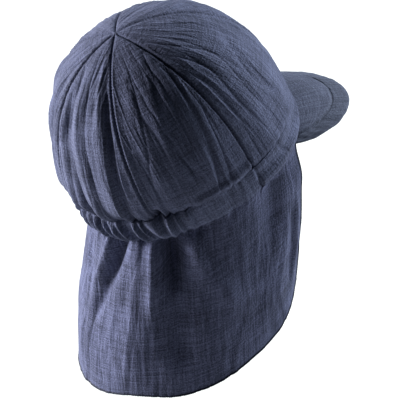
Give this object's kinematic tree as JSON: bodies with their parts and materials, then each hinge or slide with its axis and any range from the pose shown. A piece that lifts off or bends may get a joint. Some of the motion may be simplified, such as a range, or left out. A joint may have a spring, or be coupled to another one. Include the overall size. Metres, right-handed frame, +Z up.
{
  "type": "legionnaire cap",
  "caption": "Child's sun cap of crinkled cotton muslin with a soft peak, a gathered elastic band at the back and a long neck flap with a rolled hem.",
  "frame": {"origin": "centre of the head opening, where the cap sits on a head", "axes": "+Z up along gravity with the cap as worn by a head that looks up, front towards -Y, wearer's left towards +X"},
  "size_m": [0.1622, 0.2236, 0.2978],
  "materials": {
    "crown_muslin": "matt crinkled double muslin in dusty indigo",
    "band_muslin": "matt muslin, gathered at the back",
    "peak_muslin": "matt muslin over a soft board, topstitched",
    "flap_muslin": "matt slubby muslin, one thickness of double gauze",
    "hem_thread": "dense navy overlock thread"
  },
  "bodies": {
    "root": {"crown_front_right": "crown_muslin", "crown_side_right": "crown_muslin", "crown_back_right": "crown_muslin", "crown_back_left": "crown_muslin", "crown_side_left": "crown_muslin", "crown_front_left": "crown_muslin", "front_band": "band_muslin", "back_band": "band_muslin", "peak": "peak_muslin", "neck_flap": "flap_muslin", "flap_hem": "hem_thread"}
  },
  "joints": []
}
